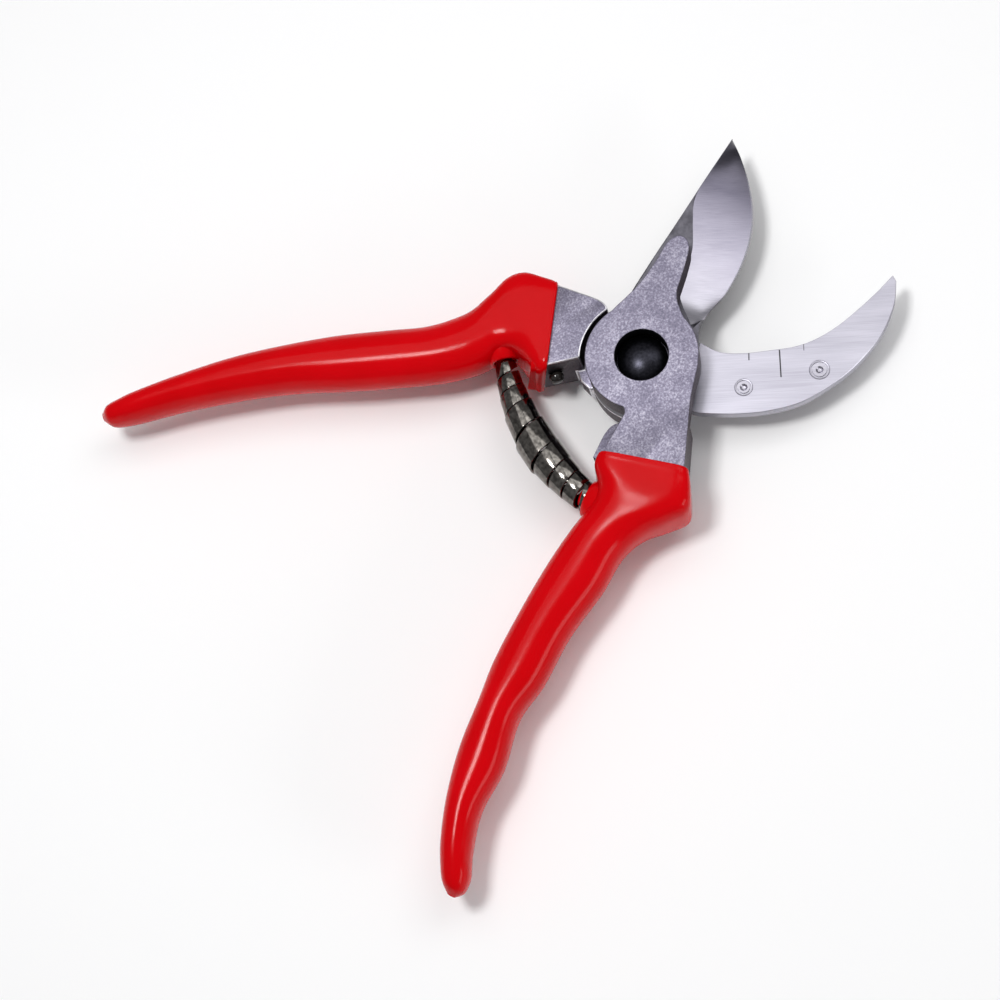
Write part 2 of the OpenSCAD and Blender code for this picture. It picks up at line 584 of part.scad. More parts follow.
module volute_spring() color([0.72, 0.72, 0.74]) translate([0, 0, shear_z + spring_z]) {
    n = spring_turns * spring_steps;
    rings = [for (i = [0 : n]) let (t = i / n, c = spring_at(t), d = spring_dir(t),
            u = [-d[1], d[0], 0], w = [0, 0, 1], p = spring_phase(t),
            out = u * cos(p) + w * sin(p), along = [d[0], d[1], 0] * strip_width(t) / 2)
        each [for (q = [[0, -1], [0, 1], [1, 1], [1, -1]])
            [c[0], c[1], 0] + out * (spring_r(t) - q[0] * strip_t) + along * q[1]]];
    walls = [for (i = [0 : n - 1], k = [0 : 3], h = [0, 1])
        let (a = 4 * i + k, b = 4 * i + (k + 1) % 4)
        h == 0 ? [a, b, b + 4] : [a, b + 4, a + 4]];
    polyhedron(rings, concat(walls, [[3, 2, 1, 0], [4 * n, 4 * n + 1, 4 * n + 2, 4 * n + 3]]));
}

blade_handle();
blade_handle_grip();
cutting_blade();
blade_dowel();
hook_handle();
hook_handle_grip();
counter_blade();
counter_blade_rivets();
pivot_bolt();
pivot_nut();
locking_segment();
segment_screw();
bumper();
thumb_catch();
catch_pin();
catch_washer();
volute_spring();
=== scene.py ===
# Bypass pruning shears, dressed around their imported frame. Metres; the row frame throughout:
# origin in the pivot nut's outer face, +Z along the pivot to the bolt's head, +X along the closed
# jaws, +Y to the blade's side. Each half is drawn in mm as it lies with the jaws closed, with
# heights from the plane in which the blades meet, and is then turned half the jaws' opening.
import json
import math

import bmesh
import bpy
import numpy as np
from mathutils import Matrix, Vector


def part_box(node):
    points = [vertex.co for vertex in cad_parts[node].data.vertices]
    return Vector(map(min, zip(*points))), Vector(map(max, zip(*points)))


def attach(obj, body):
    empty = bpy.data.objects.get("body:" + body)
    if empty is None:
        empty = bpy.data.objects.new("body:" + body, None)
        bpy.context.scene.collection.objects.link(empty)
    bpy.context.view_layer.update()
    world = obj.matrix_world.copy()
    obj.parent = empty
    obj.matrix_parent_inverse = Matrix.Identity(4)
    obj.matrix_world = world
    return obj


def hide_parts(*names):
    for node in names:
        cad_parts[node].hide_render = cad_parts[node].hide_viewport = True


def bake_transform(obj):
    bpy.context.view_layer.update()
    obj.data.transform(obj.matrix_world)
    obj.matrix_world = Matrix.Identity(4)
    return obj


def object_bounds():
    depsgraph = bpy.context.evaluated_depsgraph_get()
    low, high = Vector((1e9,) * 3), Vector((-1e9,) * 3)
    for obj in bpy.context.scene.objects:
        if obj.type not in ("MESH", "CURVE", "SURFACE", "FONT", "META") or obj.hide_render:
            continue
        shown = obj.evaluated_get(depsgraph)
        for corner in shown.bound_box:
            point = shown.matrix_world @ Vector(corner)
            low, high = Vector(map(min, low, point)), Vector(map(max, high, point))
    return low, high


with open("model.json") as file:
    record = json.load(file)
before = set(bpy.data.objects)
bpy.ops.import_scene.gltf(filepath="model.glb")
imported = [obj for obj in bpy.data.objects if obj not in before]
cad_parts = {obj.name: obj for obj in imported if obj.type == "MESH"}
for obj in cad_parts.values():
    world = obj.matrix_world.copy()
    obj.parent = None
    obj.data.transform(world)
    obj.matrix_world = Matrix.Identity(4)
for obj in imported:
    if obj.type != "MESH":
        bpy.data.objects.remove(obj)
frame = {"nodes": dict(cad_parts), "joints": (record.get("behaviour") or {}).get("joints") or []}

cad_box = [list(corner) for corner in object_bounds()]
MM = 0.001

# ---------------------------------------------------------------------------------------------
# Blade half's forging: disc, finger behind the blade, neck and tang in one piece of aluminium.
# It is drop forged and tumbled until it is matt and mottled; its counterbore's wall is painted near black,
# as painted shade.
# ---------------------------------------------------------------------------------------------


def linear(hex_colour):
    """sRGB hex colour as the linear RGBA that shaders take."""
    parts = [int(hex_colour[i:i + 2], 16) / 255 for i in (1, 3, 5)]
    return [c / 12.92 if c <= 0.04045 else ((c + 0.055) / 1.055) ** 2.4 for c in parts] + [1.0]


def new_material(name):
    """Node material with nothing in it."""
    material = bpy.data.materials.new(name)
    material.use_nodes = True
    material.node_tree.nodes.clear()
    return material


def add(material, kind, inputs=None, **settings):
    """Adds a node: settings are its own, inputs are sockets to link from or plain values."""
    new = material.node_tree.nodes.new(kind)
    for name, value in settings.items():
        setattr(new, name, value)
    for key, value in (inputs or {}).items():
        if isinstance(value, bpy.types.NodeSocket):
            material.node_tree.links.new(value, new.inputs[key])
        else:
            new.inputs[key].default_value = value
    return new


def in_mm(material, turn=0, stretch=(1, 1, 1)):
    """Object coordinates in mm, turned about Z by turn degrees and divided by stretch."""
    place = add(material, "ShaderNodeTexCoord")
    turned = add(material, "ShaderNodeVectorRotate", {"Vector": place.outputs["Object"],
                 "Angle": math.radians(turn)}, rotation_type="Z_AXIS")
    return add(material, "ShaderNodeVectorMath", {0: turned.outputs["Vector"],
               1: [1 / (MM * s) for s in stretch]}, operation="MULTIPLY").outputs["Vector"]


def noise(material, place, size, detail=2.0):
    """Noise from 0 to 1 with features of that size in mm, on coordinates in mm."""
    return add(material, "ShaderNodeTexNoise", {"Vector": place, "Scale": 0.5 / size,
               "Detail": detail}).outputs["Fac"]


def ramp(material, source, *stops):
    """Colour that runs through the stops, each (position, hex colour)."""
    new = add(material, "ShaderNodeValToRGB", {"Fac": source})
    while len(new.color_ramp.elements) < len(stops):
        new.color_ramp.elements.new(1.0)
    for element, (place, colour) in zip(new.color_ramp.elements, stops):
        element.position, element.color = place, linear(colour)
    return new.outputs["Color"]


def span(material, source, low, high):
    """A value from 0 to 1 brought to the span from low to high."""
    return add(material, "ShaderNodeMapRange", {"Value": source, "To Min": low,
               "To Max": high}).outputs["Result"]


def finish_with(material, **sockets):
    """Principled shader with these sockets, as the material's surface."""
    shader = add(material, "ShaderNodeBsdfPrincipled",
                 {name.replace("_", " "): value for name, value in sockets.items()})
    add(material, "ShaderNodeOutputMaterial", {"Surface": shader.outputs["BSDF"]})
    return material


def bumps(material, height, depth, strength):
    """Normal from a height between 0 and 1 that stands for depth in mm."""
    return add(material, "ShaderNodeBump", {"Height": height, "Strength": strength,
               "Distance": depth * MM}).outputs["Normal"]


def tumbled_aluminium():
    """Aluminium forging after the tumbler: overlapping stone marks 0.3 to 1.2 mm across in greys
    from violet to nearly white, fine light scratches, and slow clouds. Walls are painted darker and
    brownish by how upright they stand: painted shade and a painted reflection on the sides."""
    material = new_material("tumbled_aluminium")
    place = in_mm(material)
    marks = noise(material, place, 0.24, 5.0)
    clouds = noise(material, place, 3.5, 3.0)
    both = add(material, "ShaderNodeMath", {0: marks, 1: 0.6, 2: span(material, clouds, 0.05, 0.35)},
               operation="MULTIPLY_ADD").outputs["Value"]
    scratch = noise(material, in_mm(material, 25, (4, 0.14, 1)), 0.5)
    tone = ramp(material, both, (0.34, "#666373"), (0.5, "#807C8D"), (0.66, "#ABA8B6"))
    light = ramp(material, scratch, (0.66, "#000000"), (0.74, "#34343A"))
    colour = add(material, "ShaderNodeMix", {0: 1.0, 6: tone, 7: light}, data_type="RGBA",
                 blend_type="ADD").outputs[2]
    # Painted shade and painted reflection: the more upright the face, the darker and browner its colour.
    faces = add(material, "ShaderNodeSeparateXYZ", {"Vector": add(
        material, "ShaderNodeTexCoord").outputs["Normal"]}).outputs["Z"]
    steep = add(material, "ShaderNodeMath", {0: faces}, operation="ABSOLUTE").outputs["Value"]
    colour = add(material, "ShaderNodeMix", {0: 1.0, 6: colour, 7: ramp(
        material, steep, (0.25, "#9A8F89"), (0.7, "#FFFFFF"))}, data_type="RGBA",
        blend_type="MULTIPLY").outputs[2]
    return finish_with(material, Base_Color=colour, Metallic=1.0,
                       Roughness=span(material, marks, 0.62, 0.40),
                       Normal=bumps(material, marks, 0.05, 0.8))


def painted_highlight_aluminium():
    """Broken edges of the forging, painted brighter and smoother than the rest: a painted highlight."""
    material = new_material("painted_highlight_aluminium")
    worn = noise(material, in_mm(material), 0.8, 3.0)
    return finish_with(material, Base_Color=ramp(material, worn, (0.3, "#C6C4CC"), (0.7, "#EFEEF2")),
                       Metallic=1.0, Roughness=span(material, worn, 0.22, 0.42))


def link(name, mesh, body, slot, *materials):
    """Object for a finished mesh that rides on a body."""
    obj = bpy.data.objects.new(name, mesh)
    bpy.context.scene.collection.objects.link(obj)
    for material in materials:
        mesh.materials.append(material)
    if body:
        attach(obj, body)
    return obj


def rows_of(items, name):
    """A vector that each vertex or face of a mesh has, as rows of an array."""
    values = np.empty(len(items) * 3)
    items.foreach_get(name, values)
    return values.reshape(-1, 3)


LEVEL, STEEP = 0.999, 0.5                               # |normal z| of a flat top, and of a wall


def softened(node, body, slot, width, materials, segments=2, keep=None, edge=-1, bore=None):
    """Copy of a CAD node, merged, with its edges broken width mm wide; it stands in for the node.
    edge is the number of the material for the broken edges. Of a forging only what lies on the
    normal's side of keep, a (point, normal), is copied, as its tang is inside the coat, and walls
    within bore mm of the pivot's axis take its last material. The copy stays in the node's box."""
    mesh = frame["nodes"][node].data.copy()
    mesh.materials.clear()
    work = bmesh.new()
    work.from_mesh(mesh)
    bmesh.ops.remove_doubles(work, verts=work.verts, dist=0.004 * MM)
    if keep:
        level = [e for e in work.edges if e.calc_face_angle(1) < math.radians(1)]
        bmesh.ops.dissolve_edges(work, edges=level, use_verts=True)
    else:
        bmesh.ops.dissolve_limit(work, angle_limit=math.radians(1), verts=work.verts,
                                 edges=work.edges)
    sharp = [e for e in work.edges if e.calc_face_angle(0) > math.radians(32)]
    bmesh.ops.bevel(work, geom=sharp, offset=width * MM, offset_type="OFFSET", segments=segments,
                    profile=0.5, affect="EDGES", material=edge)
    if keep:
        cut = bmesh.ops.bisect_plane(work, geom=work.verts[:] + work.edges[:] + work.faces[:],
                                     plane_co=keep[0], plane_no=keep[1], clear_inner=True)
        rim = [e for e in cut["geom_cut"] if isinstance(e, bmesh.types.BMEdge)]
        bmesh.ops.holes_fill(work, edges=rim)
    work.to_mesh(mesh)
    work.free()
    steepness = np.abs(rows_of(mesh.polygons, "normal")[:, 2])
    points = rows_of(mesh.vertices, "co")
    mesh.vertices.foreach_set("co", np.clip(points, *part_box(node)).ravel())
    mesh.polygons.foreach_set("use_smooth", steepness < LEVEL)
    if bore:
        far = np.linalg.norm(rows_of(mesh.polygons, "center")[:, :2], axis=1)
        kinds = np.zeros(len(far), int)
        mesh.polygons.foreach_get("material_index", kinds)
        kinds[(far < bore * MM) & (steepness < STEEP)] = len(materials) - 1
        mesh.polygons.foreach_set("material_index", kinds)
    mesh.set_sharp_from_angle(angle=math.radians(25))
    obj = link(node + "_finished", mesh, body, slot, *materials)
    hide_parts(node)
    return obj


shear_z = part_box("counter_blade")[1].z / MM
half_open = math.radians(next(j for j in frame["joints"] if j["name"] == "main_pivot")["range_deg"][1]) / 2


def opened(points, side):
    """Points of a half in mm, drawn closed, as metres in the row frame with the jaws open. The
    side is +1 for the blade half and -1 for the hook half, the way each turns."""
    x, y, z = np.moveaxis(np.asarray(points, float), -1, 0)
    c, s = math.cos(half_open), side * math.sin(half_open)
    return np.stack([x * c - y * s, x * s + y * c, z + shear_z], -1) * MM


blade_mouth, blade_lean = [26.9, -1.8, -25.4, -7.2, 11.96, 9, 1.2], (2.8, 1.2)


def inside_mouth(first, lean, side):
    """Plane 0.9 mm behind the mouth of a coat whose first section and lean are given."""
    d, inner, outer, low, high = first[:5]
    middle = np.array([-d - 0.9, (inner + outer) / 2, (low + high) / 2])
    normal = np.array([1, -2 * lean[0] / (outer - inner), -2 * lean[1] / (high - low)])
    there = opened([middle, middle + normal], side)
    return tuple(there[0]), tuple(there[1] - there[0])


def blackened_steel(name, dark, light, rough):
    """Steel blackened in hot oxide and oiled: nearly black, satin, with a faint grain. It also gives the
    counterbore's wall its painted shade.
    """
    material = new_material(name)
    grain = noise(material, in_mm(material), 0.35, 3.0)
    return finish_with(material, Base_Color=ramp(material, grain, (0.3, dark), (0.7, light)),
                       Metallic=1.0, Roughness=span(material, grain, rough, rough + 0.1),
                       Normal=bumps(material, grain, 0.012, 0.5))


forging_look, edge_highlight_look = tumbled_aluminium(), painted_highlight_aluminium()
# Painted shade: the counterbore's wall around the bolt's head is painted near black.
counterbore_shade_look = blackened_steel("painted_shade_bore", "#121214", "#1F1F22", 0.45)
softened("blade_handle", "blade_half", "forged_aluminium", 0.22, [forging_look, counterbore_shade_look],
         keep=inside_mouth(blade_mouth, blade_lean, 1), bore=7.6)

# ---------------------------------------------------------------------------------------------
# Blade half's coat: the tang is dipped in red PVC, which sets glossy, thin at the mouth behind the
# neck and thick around the grip, with a stud in a pocket on its inner side for the spring's end.
# ---------------------------------------------------------------------------------------------


def curve(rows, steps):
    """Catmull-Rom curve through rows of numbers p: 0.5 (2 p1 + (p2 - p0) t + (2 p0 - 5 p1 + 4 p2 - p3)
    t^2 + (3 p1 - p0 - 3 p2 + p3) t^3) on each stretch, with its ends doubled."""
    rows = np.asarray(rows, float)
    p = np.vstack([rows[:1], rows, rows[-1:]])
    t = (np.arange(steps) / steps)[None, :, None]
    p0, p1, p2, p3 = (p[k:len(rows) - 1 + k, None, :] for k in range(4))
    stretch = 0.5 * (2 * p1 + (p2 - p0) * t + (2 * p0 - 5 * p1 + 4 * p2 - p3) * t ** 2
                     + (3 * p1 - p0 - 3 * p2 + p3) * t ** 3)
    return np.vstack([stretch.reshape(-1, rows.shape[1]), rows[-1:]])


def skin(name, rings, sharp=40):
    """Mesh over an array of closed rings of points (rings, points, 3), its two ends capped."""
    n, m = rings.shape[:2]
    i, j = np.meshgrid(np.arange(n - 1), np.arange(m), indexing="ij")
    k = (j + 1) % m
    quads = np.stack([i * m + j, i * m + k, (i + 1) * m + k, (i + 1) * m + j], -1).reshape(-1, 4)
    caps = [list(range(m))[::-1], list(range((n - 1) * m, n * m))]
    mesh = bpy.data.meshes.new(name)
    mesh.from_pydata(rings.reshape(-1, 3).tolist(), [], quads.tolist() + caps)
    work = bmesh.new()
    work.from_mesh(mesh)
    bmesh.ops.recalc_face_normals(work, faces=work.faces)
    work.to_mesh(mesh)
    work.free()
    mesh.shade_smooth()
    mesh.set_sharp_from_angle(angle=math.radians(sharp))
    return mesh


def dipped_coat(rows, lean, side):
    """Rings of a dipped coat. Each row is a section: distance d from the pivot, inner edge, outer
    edge, bottom, top, squareness n, coat thickness. A ring is the superellipse |u|^n + |v|^n = 1
    over that section, with u across the handle and v along Z, at x = -d + lean_u u + lean_v v; the
    lean dies out over 16 mm. At the mouth the ring rolls over a rounded lip and turns inwards, a
    bead of 0.06 mm stands behind it, and at the far end the rings close over a round tip."""
    rows = curve(rows, 12)
    first, last = rows[0], rows[-1]
    roll = np.linspace(math.pi, 0, 8)
    lip = [(first, first[6] * 0.97, -4.0)] + [
        (first, first[6] * (0.5 - 0.47 * math.cos(math.pi - a)), 0.45 * math.sin(a)) for a in roll]
    tip = [(last, 1.15 * (1 - math.cos(a)), -0.3 * math.sin(a)) for a in np.linspace(0.3, 1.45, 5)]
    sections = lip + [(r, 0.0, 0.0) for r in rows[1:]] + tip
    d = np.array([s[0][0] for s in sections])[:, None]
    inset = np.array([s[1] for s in sections])[:, None]
    inset = inset - 0.06 * np.exp(-((d - first[0] - 0.7) / 0.6) ** 2) * (inset < 0.3)
    ahead = np.array([s[2] for s in sections])[:, None]
    inner, outer, low, high, n = (np.array([s[0][c] for s in sections])[:, None] for c in range(1, 6))
    a = np.linspace(0, 2 * math.pi, 96, endpoint=False)[None, :]
    k = (np.abs(np.cos(a)) ** n + np.abs(np.sin(a)) ** n) ** (-1 / n)
    across, up = (outer - inner) / 2, (high - low) / 2
    u, v = np.cos(a) * k, np.sin(a) * k
    y = (inner + outer) / 2 + u * (across - np.sign(across) * inset)
    z = (low + high) / 2 + v * (up - inset)
    fade = np.clip(1 - (d - first[0]) / 16, 0, 1)
    x = -d + ahead + fade * (lean[0] * u + lean[1] * v)
    return opened(np.stack([x, y, z], -1), side)


def red_pvc():
    """Dip-coated PVC: saturated red all through, glossy, its skin very slightly wavy from the way
    it drained and set, with faint rubbed patches that are less shiny."""
    material = new_material("red_pvc")
    place = in_mm(material)
    waves = noise(material, place, 1.8, 2.0)
    rubbed = noise(material, place, 6.0, 3.0)
    return finish_with(material, Base_Color=ramp(material, rubbed, (0.3, "#C40006"), (0.7, "#CC000A")),
                       Roughness=span(material, rubbed, 0.11, 0.19), IOR=1.45,
                       Specular_IOR_Level=0.12, Normal=bumps(material, waves, 0.03, 0.5))


def spring_pocket(name, at, toward, r, length, side):
    """Round stud of radius r with a domed end at the point at, running that length in mm in the
    direction toward (+1 or -1) of y, and the collar around its foot that the spring's last turn
    stands in: one profile of (radius, distance), turned about the stud's own axis."""
    a = np.linspace(1.45, 0, 7)
    profile = [(r * 0.3 + 0.7 * r * math.cos(t), -0.5 * math.sin(t) + 0.5) for t in a]
    profile += [(r, 3.9), (r + 1.1, 4.0), (r + 1.15, 2.7)]
    profile += [(r + 1.75 - 0.6 * math.cos(t), 2.6 - 0.6 * math.sin(t)) for t in np.linspace(0.2, 2.6, 6)]
    profile += [(r + 2.8, 3.4), (r + 3.3, length)]
    turn = np.linspace(0, 2 * math.pi, 40, endpoint=False)
    rings = np.array([[(at[0] + q * math.cos(t), at[1] + toward * h, at[2] + q * math.sin(t))
                       for t in turn] for q, h in profile])
    return skin(name, opened(rings, side))


blade_grip_rows = [
    blade_mouth, [30, -2, -27.8, -7.2, 11.84, 7, 1.32],
    [34, -4.6, -29.4, -6.8, 11.6, 4.4, 2], [38, -5.7, -26, -6.7, 11.2, 3.4, 2.6],
    [43, -4.7, -21.2, -6.6, 10.7, 2.5, 2.8], [50, -3.2, -18.6, -6.5, 10.1, 2.3, 2.8],
    [60, -1.9, -18.1, -6.4, 9.6, 2.2, 2.8], [74, -1.2, -15.9, -6.3, 9.3, 2.2, 2.8],
    [88, -1.2, -15.7, -6.2, 9.2, 2.2, 2.8], [99, -2.4, -14.2, -6.1, 9.1, 2.2, 2.6],
    [112, -3.7, -16.6, -5.8, 8.8, 2.2, 2.6], [124, -6.5, -16.5, -5.4, 8.4, 2.2, 2.5],
    [134, -10.1, -19.2, -5, 8, 2.2, 2.3], [140, -13.1, -21.8, -4.3, 7.3, 2.2, 2],
    [144, -15.8, -22.1, -3, 6, 2.2, 0], [146, -18.2, -20.6, 0, 3, 2, 0]]
coat_look = red_pvc()
blade_coat = link("blade_handle_coat", skin("blade_handle_coat", dipped_coat(
    blade_grip_rows, blade_lean, 1)), "blade_half", "red_pvc_coat", coat_look)
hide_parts("blade_handle_grip")
link("blade_spring_pocket", spring_pocket("blade_spring_pocket", (-38.9, -1.0, 1.5), -1, 2.8, 5.6, 1),
     "blade_half", "red_pvc_coat", coat_look)

# ---------------------------------------------------------------------------------------------
# Cutting blade: hardened strip steel 3.2 mm thick, bolted under the finger. Its spine is unground
# and dark grey, partly painted shade beside the finger; the long bevel is ground hollow across the
# blade, and is bright, with a painted reflection that darkens it towards the tip.
# ---------------------------------------------------------------------------------------------
grind_turn = 36.0                                       # the wheel's lines lie 36 degrees off +X
blade_gap, blade_top, edge_t = 0.06, 3.26, 0.3


def ground_steel(name, dark, light, rough, along=None):
    """Steel off the grinding wheel: parallel lines 0.1 to 0.3 mm apart that run one way, each a
    little lighter or darker, over slow changes from how hard the wheel bore. along, if given, is
    (degrees, from mm, to mm, colours): a painted reflection, a colour gradient from end to end."""
    material = new_material(name)
    lines = noise(material, in_mm(material, grind_turn, (14, 0.10, 1)), 0.45, 3.0)
    slow = noise(material, in_mm(material, grind_turn, (6, 1.2, 1)), 2.2, 2.0)
    both = add(material, "ShaderNodeMath", {0: lines, 1: 0.45, 2: span(material, slow, 0.10, 0.42)},
               operation="MULTIPLY_ADD").outputs["Value"]
    colour = ramp(material, both, (0.30, dark), (0.70, light))
    if along:
        way = add(material, "ShaderNodeSeparateXYZ", {"Vector": in_mm(material, along[0])})
        share = add(material, "ShaderNodeMapRange", {"Value": way.outputs["X"], "From Min": along[1],
                    "From Max": along[2]}).outputs["Result"]
        colour = add(material, "ShaderNodeMix", {0: 1.0, 6: colour, 7: ramp(material, share, *along[3])},
                     data_type="RGBA", blend_type="MULTIPLY").outputs[2]
    return finish_with(material, Base_Color=colour, Metallic=1.0,
                       Roughness=span(material, lines, rough, rough + 0.12),
                       Normal=bumps(material, lines, 0.004, 0.7))


def unground_skin_and_shade():
    """Hardened steel that was not ground afterwards: dark grey oxide, satin, a little blotchy. Its
    darkness is partly painted shade, for the shade beside the finger.
    """
    material = new_material("unground_skin_and_shade")
    blotch = noise(material, in_mm(material), 1.4, 4.0)
    return finish_with(material, Base_Color=ramp(material, blotch, (0.3, "#4A494F"), (0.7, "#6F6D75")),
                       Metallic=1.0, Roughness=span(material, blotch, 0.36, 0.52))


def blade_rings():
    """Sections of the blade from root to tip. Across a section, with s from 0 at the bevel line to 1
    at the edge, the height is top - (top - edge) (s + 0.11 sin(pi s)): a hollow grind. The root
    beside the disc stays flat, so the edge's height falls from the full thickness there."""
    spine = curve([[5, 12], [14, 12.6], [27, 11.7], [38, 10.6], [46, 9.85], [52, 9.3], [59, 8.6],
                   [65, 7.95], [68.3, 7.6]], 14)
    bevel = curve([[5, -9], [14, -7], [22, 0.4], [34, 2.8], [42, 6.5], [48.5, 9.2], [56, 8.75],
                   [63, 8.05], [68, 7.5]], 14)
    edge = curve([[5, -13.5], [17, -8.2], [28, -10.2], [37, -10.4], [45, -9.1], [52, -6.4],
                  [59, -1.8], [65, 3.5], [68.5, 7.4]], 14)
    root = np.clip((18.6 - edge[:, :1]) / 1.2, 0, 1)
    low_edge = edge_t + (blade_top - edge_t) * root * root * (3 - 2 * root)
    s = np.concatenate([np.linspace(0, 0.94, 13), [0.975, 1.0]])[None, :]
    ground = bevel[:, None, :] + (edge - bevel)[:, None, :] * s[..., None]
    drop = blade_top - (blade_top - low_edge) * (s + 0.11 * np.sin(np.pi * s))
    f = np.array([0.02, 0.35, 0.7])[None, :]
    flat = spine[:, None, :] + (bevel - spine)[:, None, :] * f[..., None]
    n = len(spine)

    def at(points, height):
        return np.concatenate([points, np.broadcast_to(np.asarray(height, float).reshape(-1, 1, 1)
                               if np.ndim(height) else height, points.shape[:2] + (1,))], -1)
    return np.concatenate([
        at(spine[:, None], blade_gap + 0.12), at(spine[:, None], blade_top - 0.12),
        at(flat, blade_top), np.concatenate([ground, drop[..., None]], -1),
        at(edge[:, None], blade_gap + 0.05),
        at(edge[:, None] * 0.98 + bevel[:, None] * 0.02, blade_gap),
        at(flat[:, :1], blade_gap)], 1)


rings = blade_rings()
blade_mesh = skin("blade_body", opened(rings, 1), 14)
columns = rings.shape[1]
kind = np.ones(columns, int)                            # by column: skin, ground, honed edge
kind[5:18] = 0
kind[18:20] = 2
faces = np.ones(len(blade_mesh.polygons), int)
faces[:(len(rings) - 1) * columns] = np.tile(kind, len(rings) - 1)
root_rings = 16
faces[:root_rings * columns] = 1                        # the flat root keeps its skin
blade_mesh.polygons.foreach_set("material_index", faces)
# The bevel's colour runs from white at the root to dark grey at the tip: a painted reflection.
ground_look = ground_steel("ground_bevel", "#A5A3AD", "#D9D7DF", 0.24, (
    -math.degrees(half_open), 16, 69, [(0.0, "#FFFFFF"), (0.35, "#DAD8DE"), (0.5, "#C4C2CA"),
                                       (0.72, "#898791"), (0.86, "#7E7C84"), (1.0, "#605F64")]))
# Unground faces are dark grey: unground steel, and partly painted shade beside the finger.
skin_and_shade_look = unground_skin_and_shade()
honed_look = finish_with(new_material("honed_edge"), Base_Color=linear("#6E6D73"), Metallic=1.0,
                         Roughness=0.18)
blade = link("blade_body", blade_mesh, "blade_half", "blade_steel", ground_look, skin_and_shade_look, honed_look)


def turned_piece(name, at, profile, side):
    """Piece turned on a lathe about an axis along Z: profile of (radius, height) in mm, from one end
    of the axis to the other, at a place of a half drawn closed."""
    profile = np.asarray(profile, float)
    a = np.linspace(0, 2 * math.pi, 96, endpoint=False)[None, :]
    r, z = profile[:, :1], profile[:, 1:]
    rings = np.stack([at[0] + r * np.cos(a), at[1] + r * np.sin(a), z + 0 * a], -1)
    return skin(name, opened(rings, side), 30)


root_profile = [(4.06, blade_top), (14.7, blade_top), (14.9, blade_top - 0.2), (14.9, blade_gap + 0.2),
                (14.7, blade_gap), (4.06, blade_gap), (4.06, blade_top - 0.01)]
link("blade_root", turned_piece("blade_root", (0, 0), root_profile, 1), "blade_half", "blade_steel",
     skin_and_shade_look)
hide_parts("cutting_blade")
zinc_look = finish_with(new_material("zinc_plate"), Base_Color=linear("#C4C4C2"), Metallic=1.0,
                        Roughness=0.3)
softened("blade_dowel", "blade_half", "bright_steel", 0.2, [zinc_look])

# ---------------------------------------------------------------------------------------------
# Hook half's forging: disc under the blade, arm behind the counter-blade, neck and tang. The arc
# of its neck passes around the other disc; its broken edges carry a painted highlight.
# ---------------------------------------------------------------------------------------------
hook_mouth, hook_lean = [23.4, 2.4, 26.8, -8.5, 10.46, 9, 1.2], (3.7, 1.7)
# Its broken edges take the brighter aluminium: a painted highlight.
softened("hook_handle", "hook_half", "forged_aluminium", 0.4, [forging_look, edge_highlight_look],
         keep=inside_mouth(hook_mouth, hook_lean, -1), edge=1)

# ---------------------------------------------------------------------------------------------
# Hook half's coat: dipped like the other, with a higher shoulder behind its mouth.
# ---------------------------------------------------------------------------------------------
hook_grip_rows = [
    hook_mouth, [26, 2.8, 29.4, -8.5, 10.34, 7.5, 1.32],
    [29.5, 8.2, 32.4, -7.9, 9.9, 5, 1.7], [33, 11.4, 32.1, -7.2, 9.6, 4.2, 2.2],
    [37, 11.8, 29, -6.9, 9.4, 3.3, 2.6], [41, 9.8, 26.6, -6.7, 9.4, 2.5, 2.8],
    [46, 8.6, 25.1, -6.5, 9.4, 2.3, 2.8], [55, 8.6, 24.4, -6.4, 9.4, 2.2, 2.8],
    [66, 10, 25.9, -6.3, 9.3, 2.2, 2.8], [80, 12.2, 27.7, -6.2, 9.2, 2.2, 2.8],
    [95, 15.1, 28.4, -6.1, 9.1, 2.2, 2.8], [110, 16.6, 28.3, -5.8, 8.8, 2.2, 2.6],
    [126, 17.2, 26.7, -5.4, 8.4, 2.2, 2.5], [138, 16.8, 24.9, -5, 8, 2.2, 2.3],
    [143, 16.8, 23.8, -4.3, 7.3, 2.2, 2], [146.5, 17.2, 22.9, -3, 6, 2.2, 0],
    [148.5, 18.9, 21.7, 0, 3, 2, 0]]
hook_coat = link("hook_handle_coat", skin("hook_handle_coat", dipped_coat(
    hook_grip_rows, hook_lean, -1)), "hook_half", "red_pvc_coat", coat_look)
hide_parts("hook_handle_grip")
link("hook_spring_pocket", spring_pocket("hook_spring_pocket", (-36.4, 7.7, 1.5), 1, 1.8, 5.2, -1),
     "hook_half", "red_pvc_coat", coat_look)

# ---------------------------------------------------------------------------------------------
# Counter-blade: a ground steel plate in the hook's arm, held by two rivets whose heads are ground
# flush with it, so that only their ring and centre mark show, and three short scribed lines.
# ---------------------------------------------------------------------------------------------
plate_look = ground_steel("ground_plate", "#93919C", "#C2C0CA", 0.30)
softened("counter_blade", "hook_half", "counter_blade_steel", 0.12, [plate_look], 1)

groove_look = finish_with(new_material("scribed_groove"), Base_Color=linear("#2E2D31"), Roughness=0.6)
for number, (start, end, width) in enumerate([((27.6, -2.1), (27.2, -4.1), 0.3),
                                              ((35.6, -3.1), (34.4, -10.7), 0.36),
                                              ((42.1, -3.0), (41.8, -4.8), 0.18)]):
    start, end = np.array(start), np.array(end)
    across = np.array([end[1] - start[1], start[0] - end[0]])
    across = across / np.linalg.norm(across) * width / 2
    corners = [start - across, end - across, end + across, start + across]
    ring = np.array([[(*c, h) for c in corners] for h in (-0.3, 0.012)])
    link("scribed_line_%d" % (number + 1), skin("scribed_line", opened(ring, -1)), "hook_half",
         "counter_blade_steel", groove_look)


